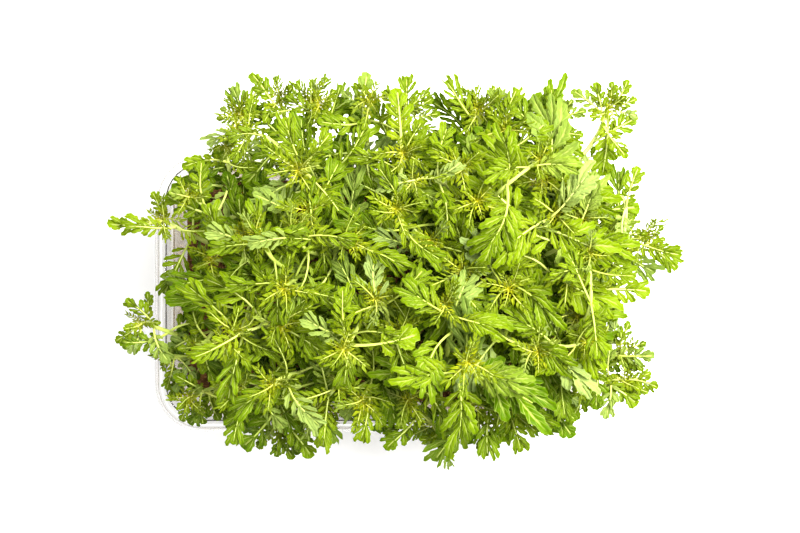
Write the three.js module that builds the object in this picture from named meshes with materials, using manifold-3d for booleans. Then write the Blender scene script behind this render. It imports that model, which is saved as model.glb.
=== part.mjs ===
// Marigold microgreens growing in a clear plastic tray.
// Millimetres, +Z up. The origin is the middle of the tray's flat base, and +X runs along the tray.

import * as THREE from "three";
import { mergeVertices } from "three/addons/utils/BufferGeometryUtils.js";
import Module from "manifold-3d";

const wasm = await Module();
wasm.setup();

// Tray: a thin formed shell with sloping walls, a shoulder and a flat rim.
const TRAY_LENGTH = 186; // over the rim
const TRAY_WIDTH = 116;
const TRAY_HEIGHT = 48;
const TRAY_CORNER = 20; // rim corner radius
const WALL = 0.9;
const WALL_LEAN = THREE.MathUtils.degToRad(6);
const RIM_WIDTH = 4.6; // from the rim's edge to the outside of the wall
const RIM_SKIRT = 3.2; // how far the rim's edge is turned down
const BEAD_INSET = 1.5; // from the rim's edge to the bead that stiffens it
const BEAD_WIDTH = 1.5;
const BEAD_RISE = 0.7;
const SHOULDER_DEPTH = 8.5; // below the rim
const SHOULDER_STEP = 1.4;
const BASE_RIB_RISE = 0.5; // a rib pressed into the base, seen below as a groove
const BASE_RIB_WIDTH = 3;
const BASE_RIB_INSET = 9;

// Soil: one block of damp coir and peat, felted together by roots.
const SOIL_TOP = 21;
const SOIL_GAP = 1.1; // between the block and the tray's walls
const GAP = 0.3; // kept between things that touch

// Stems: each rises from a root to its growing tip through a knee and a neck.
const STEM_RADIUS = 1.1;
const STEM_SIDES = 5;
const STEM_STEPS = 5;
const STEM_SPACE = 2.25; // radius kept free of other stems
const STEM_TRIES = 12;
const STEM_BOW = 0.12; // sideways bow as a share of the rise
const KNEE = { along: 0.1, height: 0.5 };
const NECK = { along: 0.45, height: 0.9 };
const KNEE_OVER_RIM = 8; // how high a stem that hangs over the rim is led above it
const NECK_OVER_RIM = 22;
const HANGS_WITHIN = 10; // a tip closer than this to the rim's edge, or past it, hangs over
const ROOT_PULL = new THREE.Vector2(0.8, 0.68); // a root's place as a share of its tip's
const ROOT_SPREAD = 15; // how far a root may stray from that place
const ROOT_LIMIT = new THREE.Vector2(76, 41);

// Leaves: thin blades that arch out from the stem in opposite pairs.
const BLADE_HALF_THICKNESS = 0.45;
const LEAF_CLEARANCE = 0.35; // kept to leaves and stems of neighbouring plants
const MIDRIB_SUBSTEPS = 6;
const BLADE_WIDTHS = { 2: [0.2, 1, 0], 3: [0.1, 0.75, 1, 0] }; // at each station, by steps
const LEAF_SPREAD = { azimuth: 18, rise: 12, fall: 18, bend: 32, roll: 28, length: 0.2 };
const LEAF_SEEDS = 5000; // keeps the leaves' numbers apart from the stems'

// Leaf pairs from the growing tip down. Each pair is turned a quarter turn from the one above it.
const LEAF_PAIRS = [
  { along: 0.97, length: 16, width: 0.19, rise: 62, fall: 24, steps: 2 },
  { along: 0.88, length: 27, width: 0.2, rise: 44, fall: -4, steps: 3 },
  { along: 0.75, length: 34, width: 0.2, rise: 34, fall: -18, steps: 3 },
];
// What is tried in turn when a leaf would touch a neighbour: turn, tilt and size.
const LEAF_CHOICES = [
  [0, 0, 1],
  [0, 13, 1],
  [0, -13, 1],
  [16, 0, 1],
  [-16, 0, 1],
  [16, 14, 1],
  [-16, 14, 1],
  [30, 6, 0.94],
  [-30, 6, 0.94],
  [22, -15, 0.86],
  [-22, -15, 0.86],
  [44, 12, 0.8],
  [-44, 12, 0.8],
  [10, 26, 0.7],
];

// Growing tips: x, y, height, turn of the youngest leaves in degrees, leaf size, breadth of leaf.
const PLANTS = [
  // over the left rim
  [-97, -12, 64, 20, 0.6, 1],
  [-87, -27, 57, 60, 0.6, 1],
  [-88, 30, 68, 86, 0.85, 1],
  // left end
  [-66, 14, 82, 30, 0.85, 0.95],
  [-76, 2, 72, 70, 0.5, 1.15],
  [-72, -22, 70, 15, 0.7, 1],
  [-60, -19, 88, 60, 0.95, 0.9],
  [-53, 24, 92, 80, 1, 0.95],
  [-76, 39, 74, 0, 0.75, 1],
  [-61, 59, 74, 80, 0.65, 0.95],
  // top left
  [-55, 72, 74, 85, 0.85, 0.95],
  [-40, 79, 72, 40, 0.8, 0.9],
  [-26, 77, 76, 75, 0.85, 0.9],
  [-31, 48, 94, 30, 1, 0.9],
  [-3, 77, 78, 95, 0.8, 0.85],
  // top middle
  [10, 55, 90, 55, 1, 0.95],
  [10, 74, 74, 10, 0.85, 1],
  [40, 74, 76, 42, 0.85, 0.95],
  [32, 50, 95, 40, 1, 1],
  [51, 65, 80, 15, 0.95, 1],
  // top right
  [71, 72, 74, 50, 0.7, 1.05],
  [93, 76, 70, 35, 0.75, 1],
  [65, 45, 88, 70, 1, 1.1],
  [82, 39, 80, 25, 0.75, 1],
  // right end
  [93, 21, 76, 60, 0.85, 1],
  [109, 23, 62, 70, 0.85, 1],
  [87, 1, 78, 35, 0.7, 1.05],
  [76, 8, 92, 65, 1, 1.15],
  [79, -9, 84, 30, 0.95, 1.1],
  [63, -23, 92, 55, 1, 1.1],
  [80, -32, 78, 10, 0.9, 1],
  [100, -23, 66, 92, 0.65, 1],
  [100, -36, 64, 345, 0.8, 1],
  // middle
  [7, 33, 98, 20, 1, 0.9],
  [-10, 20, 97, 70, 0.95, 0.85],
  [-27, 32, 96, 45, 1, 0.95],
  [-36, 2, 99, 85, 0.95, 0.85],
  [-38, -13, 91, 30, 0.95, 0.9],
  [-13, -21, 104, 84, 0.95, 0.95],
  [9, -15, 90, 40, 1, 1],
  [1, 3, 88, 10, 1, 0.95],
  [21, 21, 90, 60, 1, 1],
  [33, 9, 93, 15, 1, 1.05],
  [39, 36, 95, 75, 1, 1.15],
  [51, 2, 94, 50, 1, 1.1],
  [54, 25, 90, 20, 1, 1.15],
  [35, -26, 104, 86, 1.1, 1.1],
  // front
  [-57, -38, 78, 45, 0.85, 0.95],
  [-42, -36, 84, 20, 0.9, 0.9],
  [-77, -43, 62, 50, 0.75, 1],
  [-25, -48, 73, 75, 0.85, 0.95],
  [-42, -54, 60, 55, 0.75, 0.95],
  [-6, -43, 84, 0, 0.95, 1],
  [12, -43, 76, 40, 0.9, 1],
  [36, -44, 77, 60, 0.85, 1],
  [25, -57, 60, 45, 0.75, 1],
  [56, -43, 73, 62, 0.85, 1],
  [74, -43, 68, 30, 0.75, 1],
];

const MATERIALS = {
  tray: { color: 0xe9eef0, roughness: 0.12, metalness: 0, transparent: true, opacity: 0.35 },
  soil: { color: 0x4a3220, roughness: 0.95, metalness: 0 },
  plant: { color: 0x86a92a, roughness: 0.55, metalness: 0 },
};

/** A closed three.js geometry as a solid that can be joined and cut. */
function solidOf(geometry) {
  geometry.deleteAttribute("normal");
  geometry.deleteAttribute("uv");
  const merged = mergeVertices(geometry, 1e-4);
  return new wasm.Manifold(
    new wasm.Mesh({
      numProp: 3,
      vertProperties: merged.attributes.position.array,
      triVerts: new Uint32Array(merged.index.array),
    }),
  );
}

/** A named three.js mesh of a solid. */
function meshOf(name, solid, material) {
  const { vertProperties, triVerts } = solid.getMesh();
  const geometry = new THREE.BufferGeometry();
  geometry.setAttribute("position", new THREE.BufferAttribute(vertProperties, 3));
  geometry.setIndex(new THREE.BufferAttribute(triVerts, 1));
  geometry.computeVertexNormals();
  const mesh = new THREE.Mesh(geometry, new THREE.MeshStandardMaterial(material));
  mesh.name = name;
  return mesh;
}

function roundedRectangle(length, width, radius) {
  const x = length / 2 - radius;
  const y = width / 2 - radius;
  const quarter = Math.PI / 2;
  const outline = new THREE.Shape();
  outline.absarc(x, y, radius, 0, quarter);
  outline.absarc(-x, y, radius, quarter, 2 * quarter);
  outline.absarc(-x, -y, radius, 2 * quarter, 3 * quarter);
  outline.absarc(x, -y, radius, 3 * quarter, 4 * quarter);
  outline.closePath();
  return outline;
}

/** A rounded block between two heights, as large as told at its top and leaning in below. */
function leaningBlock(length, width, radius, bottom, top, lean = 0) {
  const height = top - bottom;
  const block = new THREE.ExtrudeGeometry(roundedRectangle(length, width, radius), {
    depth: height,
    bevelEnabled: false,
    curveSegments: 5,
  });
  const position = block.attributes.position;
  for (let i = 0; i < position.count; i++) {
    const drawnIn = (height - position.getZ(i)) * Math.tan(lean);
    position.setX(i, position.getX(i) - Math.sign(position.getX(i)) * drawnIn);
    position.setY(i, position.getY(i) - Math.sign(position.getY(i)) * drawnIn);
  }
  block.translate(0, 0, bottom);
  return solidOf(block);
}

/** A block whose outline lies inset from the rim's edge by the given amount. */
function insetBlock(inset, bottom, top, lean) {
  const radius = Math.max(TRAY_CORNER - inset, 3);
  return leaningBlock(TRAY_LENGTH - 2 * inset, TRAY_WIDTH - 2 * inset, radius, bottom, top, lean);
}

/** A flat ring between two insets from the rim's edge. */
function insetRing(inset, width, bottom, top) {
  return insetBlock(inset, bottom, top).subtract(insetBlock(inset + width, bottom - 1, top + 1));
}

function trayHull(thickness, floor, top) {
  const shoulder = TRAY_HEIGHT - SHOULDER_DEPTH;
  const upperInset = RIM_WIDTH + thickness;
  const lowerInset = upperInset + SHOULDER_STEP + SHOULDER_DEPTH * Math.tan(WALL_LEAN);
  const upper = insetBlock(upperInset, shoulder + thickness, top, WALL_LEAN);
  const lower = insetBlock(lowerInset, floor, shoulder + thickness + 0.01, WALL_LEAN);
  return upper.add(lower);
}

/** Distance from the rim's edge to the outside of the wall at the base. */
function baseInset() {
  return RIM_WIDTH + SHOULDER_STEP + TRAY_HEIGHT * Math.tan(WALL_LEAN);
}

function makeTray() {
  const rim = insetBlock(0, TRAY_HEIGHT - RIM_SKIRT, TRAY_HEIGHT)
    .subtract(insetBlock(WALL, TRAY_HEIGHT - RIM_SKIRT - 1, TRAY_HEIGHT - WALL))
    .add(insetRing(BEAD_INSET, BEAD_WIDTH, TRAY_HEIGHT - WALL / 2, TRAY_HEIGHT + BEAD_RISE));
  const outside = trayHull(0, 0, TRAY_HEIGHT);
  const inside = trayHull(WALL, WALL, TRAY_HEIGHT + BEAD_RISE + 1);
  const rib = baseInset() + BASE_RIB_INSET;
  return rim
    .add(outside)
    .subtract(inside)
    .add(insetRing(rib - WALL / 2, BASE_RIB_WIDTH + WALL, WALL / 2, WALL + BASE_RIB_RISE))
    .subtract(insetRing(rib, BASE_RIB_WIDTH, -1, BASE_RIB_RISE));
}

function makeSoil() {
  const bottom = WALL + BASE_RIB_RISE + GAP;
  const inset = baseInset() - SOIL_TOP * Math.tan(WALL_LEAN) + WALL + SOIL_GAP;
  return insetBlock(inset, bottom, SOIL_TOP, WALL_LEAN);
}

/** A repeatable stream of numbers from 0 to 1. */
function numbersFrom(seed) {
  let state = 7919 * (seed + 1);
  const next = () => {
    state = (state * 48271) % 2147483647;
    return state / 2147483647;
  };
  next();
  return next;
}

function hangsOver(x, y) {
  const pastEnd = Math.abs(x) > TRAY_LENGTH / 2 - HANGS_WITHIN;
  const pastSide = Math.abs(y) > TRAY_WIDTH / 2 - HANGS_WITHIN;
  return pastEnd || pastSide;
}

/** The stem's curve from its root to its growing tip, for one try at the root's place. */
function stemCurve(plant, attempt) {
  const [x, y, height] = PLANTS[plant];
  const draw = numbersFrom(100 * plant + attempt);
  const spread = (amount) => (2 * draw() - 1) * amount;
  const limit = (value, most) => THREE.MathUtils.clamp(value, -most, most);
  const foot = new THREE.Vector3(
    limit(x * ROOT_PULL.x + spread(ROOT_SPREAD), ROOT_LIMIT.x),
    limit(y * ROOT_PULL.y + spread(ROOT_SPREAD), ROOT_LIMIT.y),
    SOIL_TOP + GAP,
  );
  const tip = new THREE.Vector3(x, y, height);
  const rise = height - foot.z;
  const bow = new THREE.Vector3(spread(STEM_BOW * rise), spread(STEM_BOW * rise), 0);
  const knee = foot.clone().lerp(tip, KNEE.along).add(bow);
  const neck = foot.clone().lerp(tip, NECK.along).sub(bow);
  const rimTop = hangsOver(x, y) ? TRAY_HEIGHT : -TRAY_HEIGHT;
  knee.setZ(Math.max(foot.z + KNEE.height * rise, rimTop + KNEE_OVER_RIM));
  neck.setZ(Math.max(foot.z + NECK.height * rise, rimTop + NECK_OVER_RIM));
  return new THREE.CubicBezierCurve3(foot, knee, neck, tip);
}

/** A tube of constant radius along a stem. */
function stemSolid(curve, radius) {
  const corners = [];
  for (let i = 0; i < STEM_SIDES; i++) {
    const angle = (2 * Math.PI * i) / STEM_SIDES;
    corners.push(new THREE.Vector2(radius * Math.cos(angle), radius * Math.sin(angle)));
  }
  return solidOf(
    new THREE.ExtrudeGeometry(new THREE.Shape(corners), {
      steps: STEM_STEPS,
      extrudePath: curve,
      bevelEnabled: false,
    }),
  );
}

/** The point at a share of a stem's length, on the straight stretches that its solid is made of. */
function stemPoint(curve, share) {
  const points = curve.getSpacedPoints(STEM_STEPS);
  const stretch = Math.min(Math.floor(share * STEM_STEPS), STEM_STEPS - 1);
  return points[stretch].clone().lerp(points[stretch + 1], share * STEM_STEPS - stretch);
}

/** The settings of one leaf: where it leaves the stem, which way it goes and how it bends. */
function leafSetting(plant, pairIndex, side, choice) {
  const [, , , turn, size, breadth] = PLANTS[plant];
  const pair = LEAF_PAIRS[pairIndex];
  const [turned, tilted, scaled] = LEAF_CHOICES[choice];
  const draw = numbersFrom(LEAF_SEEDS + 100 * plant + 10 * pairIndex + side);
  const spread = (amount) => (2 * draw() - 1) * amount;
  const length = pair.length * size * scaled;
  return {
    azimuth: turn + 90 * pairIndex + 180 * side + turned + spread(LEAF_SPREAD.azimuth),
    rise: pair.rise + tilted + spread(LEAF_SPREAD.rise),
    fall: pair.fall + tilted + spread(LEAF_SPREAD.fall),
    bend: spread(LEAF_SPREAD.bend),
    roll: spread(LEAF_SPREAD.roll),
    length: length * (1 + spread(LEAF_SPREAD.length)),
    halfWidth: length * pair.width * breadth,
  };
}

/** Points and directions along a leaf's midrib, which starts at a point on its stem. */
function midribStations(start, setting, count) {
  const parts = count * MIDRIB_SUBSTEPS;
  const point = start.clone();
  const stations = [];
  for (let i = 0; i <= parts; i++) {
    const share = i / parts;
    const azimuth = THREE.MathUtils.degToRad(setting.azimuth + setting.bend * share);
    const climb = setting.rise + (setting.fall - setting.rise) * share;
    const tilt = THREE.MathUtils.degToRad(climb);
    const along = new THREE.Vector3(
      Math.cos(tilt) * Math.cos(azimuth),
      Math.cos(tilt) * Math.sin(azimuth),
      Math.sin(tilt),
    );
    if (i % MIDRIB_SUBSTEPS === 0) {
      const across = new THREE.Vector3(Math.sin(azimuth), -Math.cos(azimuth), 0);
      across.applyAxisAngle(along, THREE.MathUtils.degToRad(setting.roll));
      const up = new THREE.Vector3().crossVectors(across, along);
      stations.push({ point: point.clone(), across, up });
    }
    point.addScaledVector(along, setting.length / parts);
  }
  return stations;
}

/** A leaf as a thin blade, flat above and keeled below, that is widest past its middle. */
function leafSolid(start, setting, steps, extra) {
  const stations = midribStations(start, setting, steps);
  const blade = new THREE.ConeGeometry(1, 1, 3, steps, false, Math.PI);
  const position = blade.attributes.position;
  for (let i = 0; i < position.count; i++) {
    const station = Math.round((position.getY(i) + 0.5) * steps);
    const { point, across, up } = stations[station];
    const radius = 1 - station / steps || 1; // of the cone at this station
    const halfWidth = setting.halfWidth * BLADE_WIDTHS[steps][station] + extra;
    const placed = point
      .clone()
      .addScaledVector(across, (position.getX(i) / radius) * halfWidth)
      .addScaledVector(up, (position.getZ(i) / radius) * (BLADE_HALF_THICKNESS + extra));
    position.setXYZ(i, placed.x, placed.y, placed.z);
  }
  return solidOf(blade);
}

function boxOf(solid) {
  const { min, max } = solid.boundingBox();
  return new THREE.Box3(new THREE.Vector3(...min), new THREE.Vector3(...max));
}

/** The stems and leaves placed so far, so that what grows next keeps clear of its neighbours. */
class Bed {
  constructor(tray) {
    this.placed = [{ solid: tray, plant: null, box: boxOf(tray) }];
  }

  isClear(solid, plant) {
    const box = boxOf(solid);
    const touches = (other) => !solid.intersect(other.solid).isEmpty();
    const neighbours = this.placed.filter(
      (other) => other.plant !== plant && box.intersectsBox(other.box),
    );
    return !neighbours.some(touches);
  }

  add(solid, plant) {
    this.placed.push({ solid, plant, box: boxOf(solid) });
  }

  /** Joins everything that belongs to one plant. */
  whole(plant) {
    const own = this.placed.filter((piece) => piece.plant === plant);
    return own.map((piece) => piece.solid).reduce((joined, piece) => joined.add(piece));
  }
}

/** Places a plant's stem at the first try that is clear, and returns its curve. */
function growStem(bed, plant) {
  for (let attempt = 0; attempt < STEM_TRIES; attempt++) {
    const curve = stemCurve(plant, attempt);
    if (bed.isClear(stemSolid(curve, STEM_SPACE), plant)) {
      bed.add(stemSolid(curve, STEM_RADIUS), plant);
      return curve;
    }
  }
  throw new Error("no clear place for the stem of plant " + (plant + 1));
}

/** Places one leaf at the first choice that is clear. Where none is, the leaf is left out. */
function growLeaf(bed, plant, pairIndex, side, start) {
  const { steps } = LEAF_PAIRS[pairIndex];
  for (let choice = 0; choice < LEAF_CHOICES.length; choice++) {
    const setting = leafSetting(plant, pairIndex, side, choice);
    if (bed.isClear(leafSolid(start, setting, steps, LEAF_CLEARANCE), plant)) {
      bed.add(leafSolid(start, setting, steps, 0), plant);
      return;
    }
  }
}

/** Grows all stems first, then the leaves, pair by pair from the growing tips down. */
function growPlants(tray) {
  const bed = new Bed(tray);
  const curves = PLANTS.map((_, plant) => growStem(bed, plant));
  LEAF_PAIRS.forEach((pair, pairIndex) => {
    curves.forEach((curve, plant) => {
      const start = stemPoint(curve, pair.along);
      growLeaf(bed, plant, pairIndex, 0, start);
      growLeaf(bed, plant, pairIndex, 1, start);
    });
  });
  return PLANTS.map((_, plant) => bed.whole(plant));
}

const tray = makeTray();
const punnet = new THREE.Group();
punnet.add(meshOf("tray", tray, MATERIALS.tray));
punnet.add(meshOf("soil_bed", makeSoil(), MATERIALS.soil));
growPlants(tray).forEach((plant, i) => {
  const name = "plant_" + String(i + 1).padStart(2, "0");
  punnet.add(meshOf(name, plant, MATERIALS.plant));
});

export default punnet;
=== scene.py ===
"""Marigold microgreens in a clear plastic tray: leaf, stem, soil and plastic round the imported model."""

import math

import bmesh
import bpy
import numpy as np
from mathutils import Matrix, Vector, kdtree, noise


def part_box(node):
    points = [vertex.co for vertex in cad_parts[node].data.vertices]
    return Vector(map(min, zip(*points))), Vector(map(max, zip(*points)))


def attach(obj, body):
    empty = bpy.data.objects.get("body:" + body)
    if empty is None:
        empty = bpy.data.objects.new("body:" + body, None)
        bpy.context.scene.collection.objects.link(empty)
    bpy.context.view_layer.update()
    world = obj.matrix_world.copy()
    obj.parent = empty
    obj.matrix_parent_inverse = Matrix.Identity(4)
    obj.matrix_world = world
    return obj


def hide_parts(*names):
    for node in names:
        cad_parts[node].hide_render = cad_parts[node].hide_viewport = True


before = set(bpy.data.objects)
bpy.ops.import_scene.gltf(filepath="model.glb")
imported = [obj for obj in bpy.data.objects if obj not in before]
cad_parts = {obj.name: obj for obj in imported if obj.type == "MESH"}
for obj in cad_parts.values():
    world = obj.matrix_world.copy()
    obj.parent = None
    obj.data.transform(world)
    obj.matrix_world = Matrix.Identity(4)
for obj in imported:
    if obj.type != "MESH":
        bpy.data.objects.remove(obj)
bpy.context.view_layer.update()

MM = 0.001
ROOT = "root"

# ---------------------------------------------------------------- how the plants grow
# Lengths in this section are millimetres, as in the solids that the plants replace.

soil_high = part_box("soil_bed")[1]
tray_low, tray_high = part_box("tray")
SOIL_TOP = soil_high[2] / MM
GAP = 0.3  # between the soil and the foot of a stem
TRAY_LENGTH = round((tray_high[0] - tray_low[0]) / MM)
TRAY_WIDTH = round((tray_high[1] - tray_low[1]) / MM)
TRAY_HEIGHT = 48  # without the bead on its rim

STEM_STEPS = 5  # straight stretches in a stem's solid
STEM_TRIES = 12
STEM_BOW = 0.12  # sideways bow as a share of the rise
KNEE = (0.1, 0.5)  # along and height, as shares of the way from root to tip
NECK = (0.45, 0.9)
KNEE_OVER_RIM = 8  # how high a stem that hangs over the rim is led above it
NECK_OVER_RIM = 22
HANGS_WITHIN = 10  # a tip closer than this to the rim's edge, or past it, hangs over
ROOT_PULL = (0.8, 0.68)  # a root's place as a share of its tip's
ROOT_SPREAD = 15  # how far a root may stray from that place
ROOT_LIMIT = (76, 41)
MIDRIB_SUBSTEPS = 6
USUAL_WIDTH = 0.2  # of a leaf's solid, as a share of its length
LEAF_SPREAD = {"azimuth": 18, "rise": 12, "fall": 18, "bend": 32, "roll": 28, "length": 0.2}
LEAF_SEEDS = 5000  # keeps the leaves' numbers apart from the stems'
SEED_STEP, MULTIPLIER, MODULUS = 7919, 48271, 2147483647  # of the streams of numbers

# Leaf pairs from the growing tip down: place on the stem, length, width, slope at the base and at the tip.
LEAF_PAIRS = [
    {"along": 0.97, "length": 16, "width": 0.19, "rise": 62, "fall": 24, "steps": 2},
    {"along": 0.88, "length": 27, "width": 0.2, "rise": 44, "fall": -4, "steps": 3},
    {"along": 0.75, "length": 34, "width": 0.2, "rise": 34, "fall": -18, "steps": 3},
]
# Pairs that the solids leave out: older leaves and then the seed leaves, lower on the stem.
LOW_PAIRS = [
    {"along": 0.65, "length": 33, "width": 0.2, "rise": 38, "fall": -10, "steps": 3},
    {"along": 0.54, "length": 32, "width": 0.2, "rise": 30, "fall": -14, "steps": 3},
    {"along": 0.45, "length": 28, "width": 0.2, "rise": 26, "fall": -14, "steps": 3},
    {"along": 0.34, "length": 15, "width": 0.2, "rise": 18, "fall": -6, "steps": 2},
]
ALL_PAIRS = LEAF_PAIRS + LOW_PAIRS
# What is tried in turn when a leaf would touch a neighbour: turn, tilt and size.
LEAF_CHOICES = [
    (0, 0, 1), (0, 13, 1), (0, -13, 1), (16, 0, 1), (-16, 0, 1), (16, 14, 1), (-16, 14, 1),
    (30, 6, 0.94), (-30, 6, 0.94), (22, -15, 0.86), (-22, -15, 0.86),
    (44, 12, 0.8), (-44, 12, 0.8), (10, 26, 0.7),
]

# Growing tips: x, y, height, turn of the youngest leaves in degrees, leaf size, breadth of leaf.
PLANTS = [
    # over the left rim
    (-97, -12, 64, 20, 0.6, 1),
    (-87, -27, 57, 60, 0.6, 1),
    (-88, 30, 68, 86, 0.85, 1),
    # left end
    (-66, 14, 82, 30, 0.85, 0.95),
    (-76, 2, 72, 70, 0.5, 1.15),
    (-72, -22, 70, 15, 0.7, 1),
    (-60, -19, 88, 60, 0.95, 0.9),
    (-53, 24, 92, 80, 1, 0.95),
    (-76, 39, 74, 0, 0.75, 1),
    (-61, 59, 74, 80, 0.65, 0.95),
    # top left
    (-55, 72, 74, 85, 0.85, 0.95),
    (-40, 79, 72, 40, 0.8, 0.9),
    (-26, 77, 76, 75, 0.85, 0.9),
    (-31, 48, 94, 30, 1, 0.9),
    (-3, 77, 78, 95, 0.8, 0.85),
    # top middle
    (10, 55, 90, 55, 1, 0.95),
    (10, 74, 74, 10, 0.85, 1),
    (40, 74, 76, 42, 0.85, 0.95),
    (32, 50, 95, 40, 1, 1),
    (51, 65, 80, 15, 0.95, 1),
    # top right
    (71, 72, 74, 50, 0.7, 1.05),
    (93, 76, 70, 35, 0.75, 1),
    (65, 45, 88, 70, 1, 1.1),
    (82, 39, 80, 25, 0.75, 1),
    # right end
    (93, 21, 76, 60, 0.85, 1),
    (109, 23, 62, 70, 0.85, 1),
    (87, 1, 78, 35, 0.7, 1.05),
    (76, 8, 92, 65, 1, 1.15),
    (79, -9, 84, 30, 0.95, 1.1),
    (63, -23, 92, 55, 1, 1.1),
    (80, -32, 78, 10, 0.9, 1),
    (100, -23, 66, 92, 0.65, 1),
    (100, -36, 64, 345, 0.8, 1),
    # middle
    (7, 33, 98, 20, 1, 0.9),
    (-10, 20, 97, 70, 0.95, 0.85),
    (-27, 32, 96, 45, 1, 0.95),
    (-36, 2, 99, 85, 0.95, 0.85),
    (-38, -13, 91, 30, 0.95, 0.9),
    (-13, -21, 104, 84, 0.95, 0.95),
    (9, -15, 90, 40, 1, 1),
    (1, 3, 88, 10, 1, 0.95),
    (21, 21, 90, 60, 1, 1),
    (33, 9, 93, 15, 1, 1.05),
    (39, 36, 95, 75, 1, 1.15),
    (51, 2, 94, 50, 1, 1.1),
    (54, 25, 90, 20, 1, 1.15),
    (35, -26, 104, 86, 1.1, 1.1),
    # front
    (-57, -38, 78, 45, 0.85, 0.95),
    (-42, -36, 84, 20, 0.9, 0.9),
    (-77, -43, 62, 50, 0.75, 1),
    (-25, -48, 73, 75, 0.85, 0.95),
    (-42, -54, 60, 55, 0.75, 0.95),
    (-6, -43, 84, 0, 0.95, 1),
    (12, -43, 76, 40, 0.9, 1),
    (36, -44, 77, 60, 0.85, 1),
    (25, -57, 60, 45, 0.75, 1),
    (56, -43, 73, 62, 0.85, 1),
    (74, -43, 68, 30, 0.75, 1),
]


def numbers_from(seed):
    """A repeatable stream of numbers from 0 to 1."""
    state = SEED_STEP * (seed + 1)

    def draw():
        nonlocal state
        state = state * MULTIPLIER % MODULUS
        return state / MODULUS

    draw()
    return draw


def hangs_over(x, y):
    """Whether a growing tip at this place hangs over the rim."""
    past_end = abs(x) > TRAY_LENGTH / 2 - HANGS_WITHIN
    past_side = abs(y) > TRAY_WIDTH / 2 - HANGS_WITHIN
    return past_end or past_side


def stem_curve(plant, attempt):
    """The four control points of a stem, from its root to its growing tip, for one try at its root."""
    x, y, height = PLANTS[plant][:3]
    draw = numbers_from(100 * plant + attempt)

    def spread(amount):
        return (2 * draw() - 1) * amount

    foot_x = np.clip(x * ROOT_PULL[0] + spread(ROOT_SPREAD), -ROOT_LIMIT[0], ROOT_LIMIT[0])
    foot_y = np.clip(y * ROOT_PULL[1] + spread(ROOT_SPREAD), -ROOT_LIMIT[1], ROOT_LIMIT[1])
    foot = np.array((foot_x, foot_y, SOIL_TOP + GAP))
    tip = np.array((x, y, height), float)
    rise = height - foot[2]
    bow_x = spread(STEM_BOW * rise)
    bow_y = spread(STEM_BOW * rise)
    bow = np.array((bow_x, bow_y, 0))
    rim_top = TRAY_HEIGHT if hangs_over(x, y) else -TRAY_HEIGHT
    knee = foot + (tip - foot) * KNEE[0] + bow
    neck = foot + (tip - foot) * NECK[0] - bow
    knee[2] = max(foot[2] + KNEE[1] * rise, rim_top + KNEE_OVER_RIM)
    neck[2] = max(foot[2] + NECK[1] * rise, rim_top + NECK_OVER_RIM)
    return np.array((foot, knee, neck, tip))


def curve_points(curve, shares):
    t = np.asarray(shares, float)[:, None]
    a, b, c, d = curve
    return (1 - t) ** 3 * a + 3 * (1 - t) ** 2 * t * b + 3 * (1 - t) * t**2 * c + t**3 * d


def even_points(curve, stretches):
    """Points at equal lengths along a curve."""
    fine = 200
    shares = np.linspace(0, 1, fine + 1)
    points = curve_points(curve, shares)
    run = np.concatenate(([0], np.cumsum(np.linalg.norm(np.diff(points, axis=0), axis=1))))
    wanted = np.linspace(0, run[-1], stretches + 1)
    return curve_points(curve, np.interp(wanted, run, shares))


def leaf_setting(plant, pair_index, side, choice=0):
    """How one leaf grows: heading, slopes, bend and roll in degrees, then its length and breadth."""
    turn, size, breadth = PLANTS[plant][3:6]
    pair = ALL_PAIRS[pair_index]
    turned, tilted, scaled = LEAF_CHOICES[choice]
    draw = numbers_from(LEAF_SEEDS + 100 * plant + 10 * pair_index + side)

    def spread(name):
        return (2 * draw() - 1) * LEAF_SPREAD[name]

    length = pair["length"] * size * scaled
    return {
        "azimuth": turn + 90 * pair_index + 180 * side + turned + spread("azimuth"),
        "rise": pair["rise"] + tilted + spread("rise"),
        "fall": pair["fall"] + tilted + spread("fall"),
        "bend": spread("bend"),
        "roll": spread("roll"),
        "length": length * (1 + spread("length")),
        "breadth": breadth * pair["width"] / USUAL_WIDTH,
        "steps": pair["steps"],
    }


def midrib_of(start, setting):
    """Points along a leaf's midrib, with the directions along it, across it and up from it."""
    parts = setting["steps"] * MIDRIB_SUBSTEPS
    share = np.linspace(0, 1, parts + 1)
    azimuth = np.radians(setting["azimuth"] + setting["bend"] * share)
    tilt = np.radians(setting["rise"] + (setting["fall"] - setting["rise"]) * share)
    level = np.cos(tilt)
    along = np.stack((level * np.cos(azimuth), level * np.sin(azimuth), np.sin(tilt)), axis=1)
    moves = np.vstack((np.zeros(3), np.cumsum(along[:-1], axis=0)))
    points = start + moves * setting["length"] / parts
    flat = np.stack((np.sin(azimuth), -np.cos(azimuth), np.zeros(parts + 1)), axis=1)
    roll = math.radians(setting["roll"])
    across = flat * math.cos(roll) + np.cross(along, flat) * math.sin(roll)
    return points, along, across, np.cross(across, along)


# ---------------------------------------------------------------- where the solids stand

FOOT_REACH = 1.3  # from a root to the corners of its stem's lowest section
FOOT_CORNERS = 4
TIP_REACH = 0.05  # from a leaf's tip to a corner of its solid


class Solid:
    """One plant's solid, asked where its stem and leaves were set."""

    def __init__(self, node):
        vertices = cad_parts[node].data.vertices
        self.tree = kdtree.KDTree(len(vertices))
        for vertex in vertices:
            self.tree.insert(vertex.co / MM, vertex.index)
        self.tree.balance()

    def corners_near(self, point, reach):
        return len(self.tree.find_range(Vector(point), reach))


def grown_stem(solid, plant):
    """The control points of the stem that the solid has."""
    for attempt in range(STEM_TRIES):
        curve = stem_curve(plant, attempt)
        if solid.corners_near(curve[0], FOOT_REACH) >= FOOT_CORNERS:
            return curve
    raise ValueError(f"plant {plant + 1} has no stem in the frame")


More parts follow.
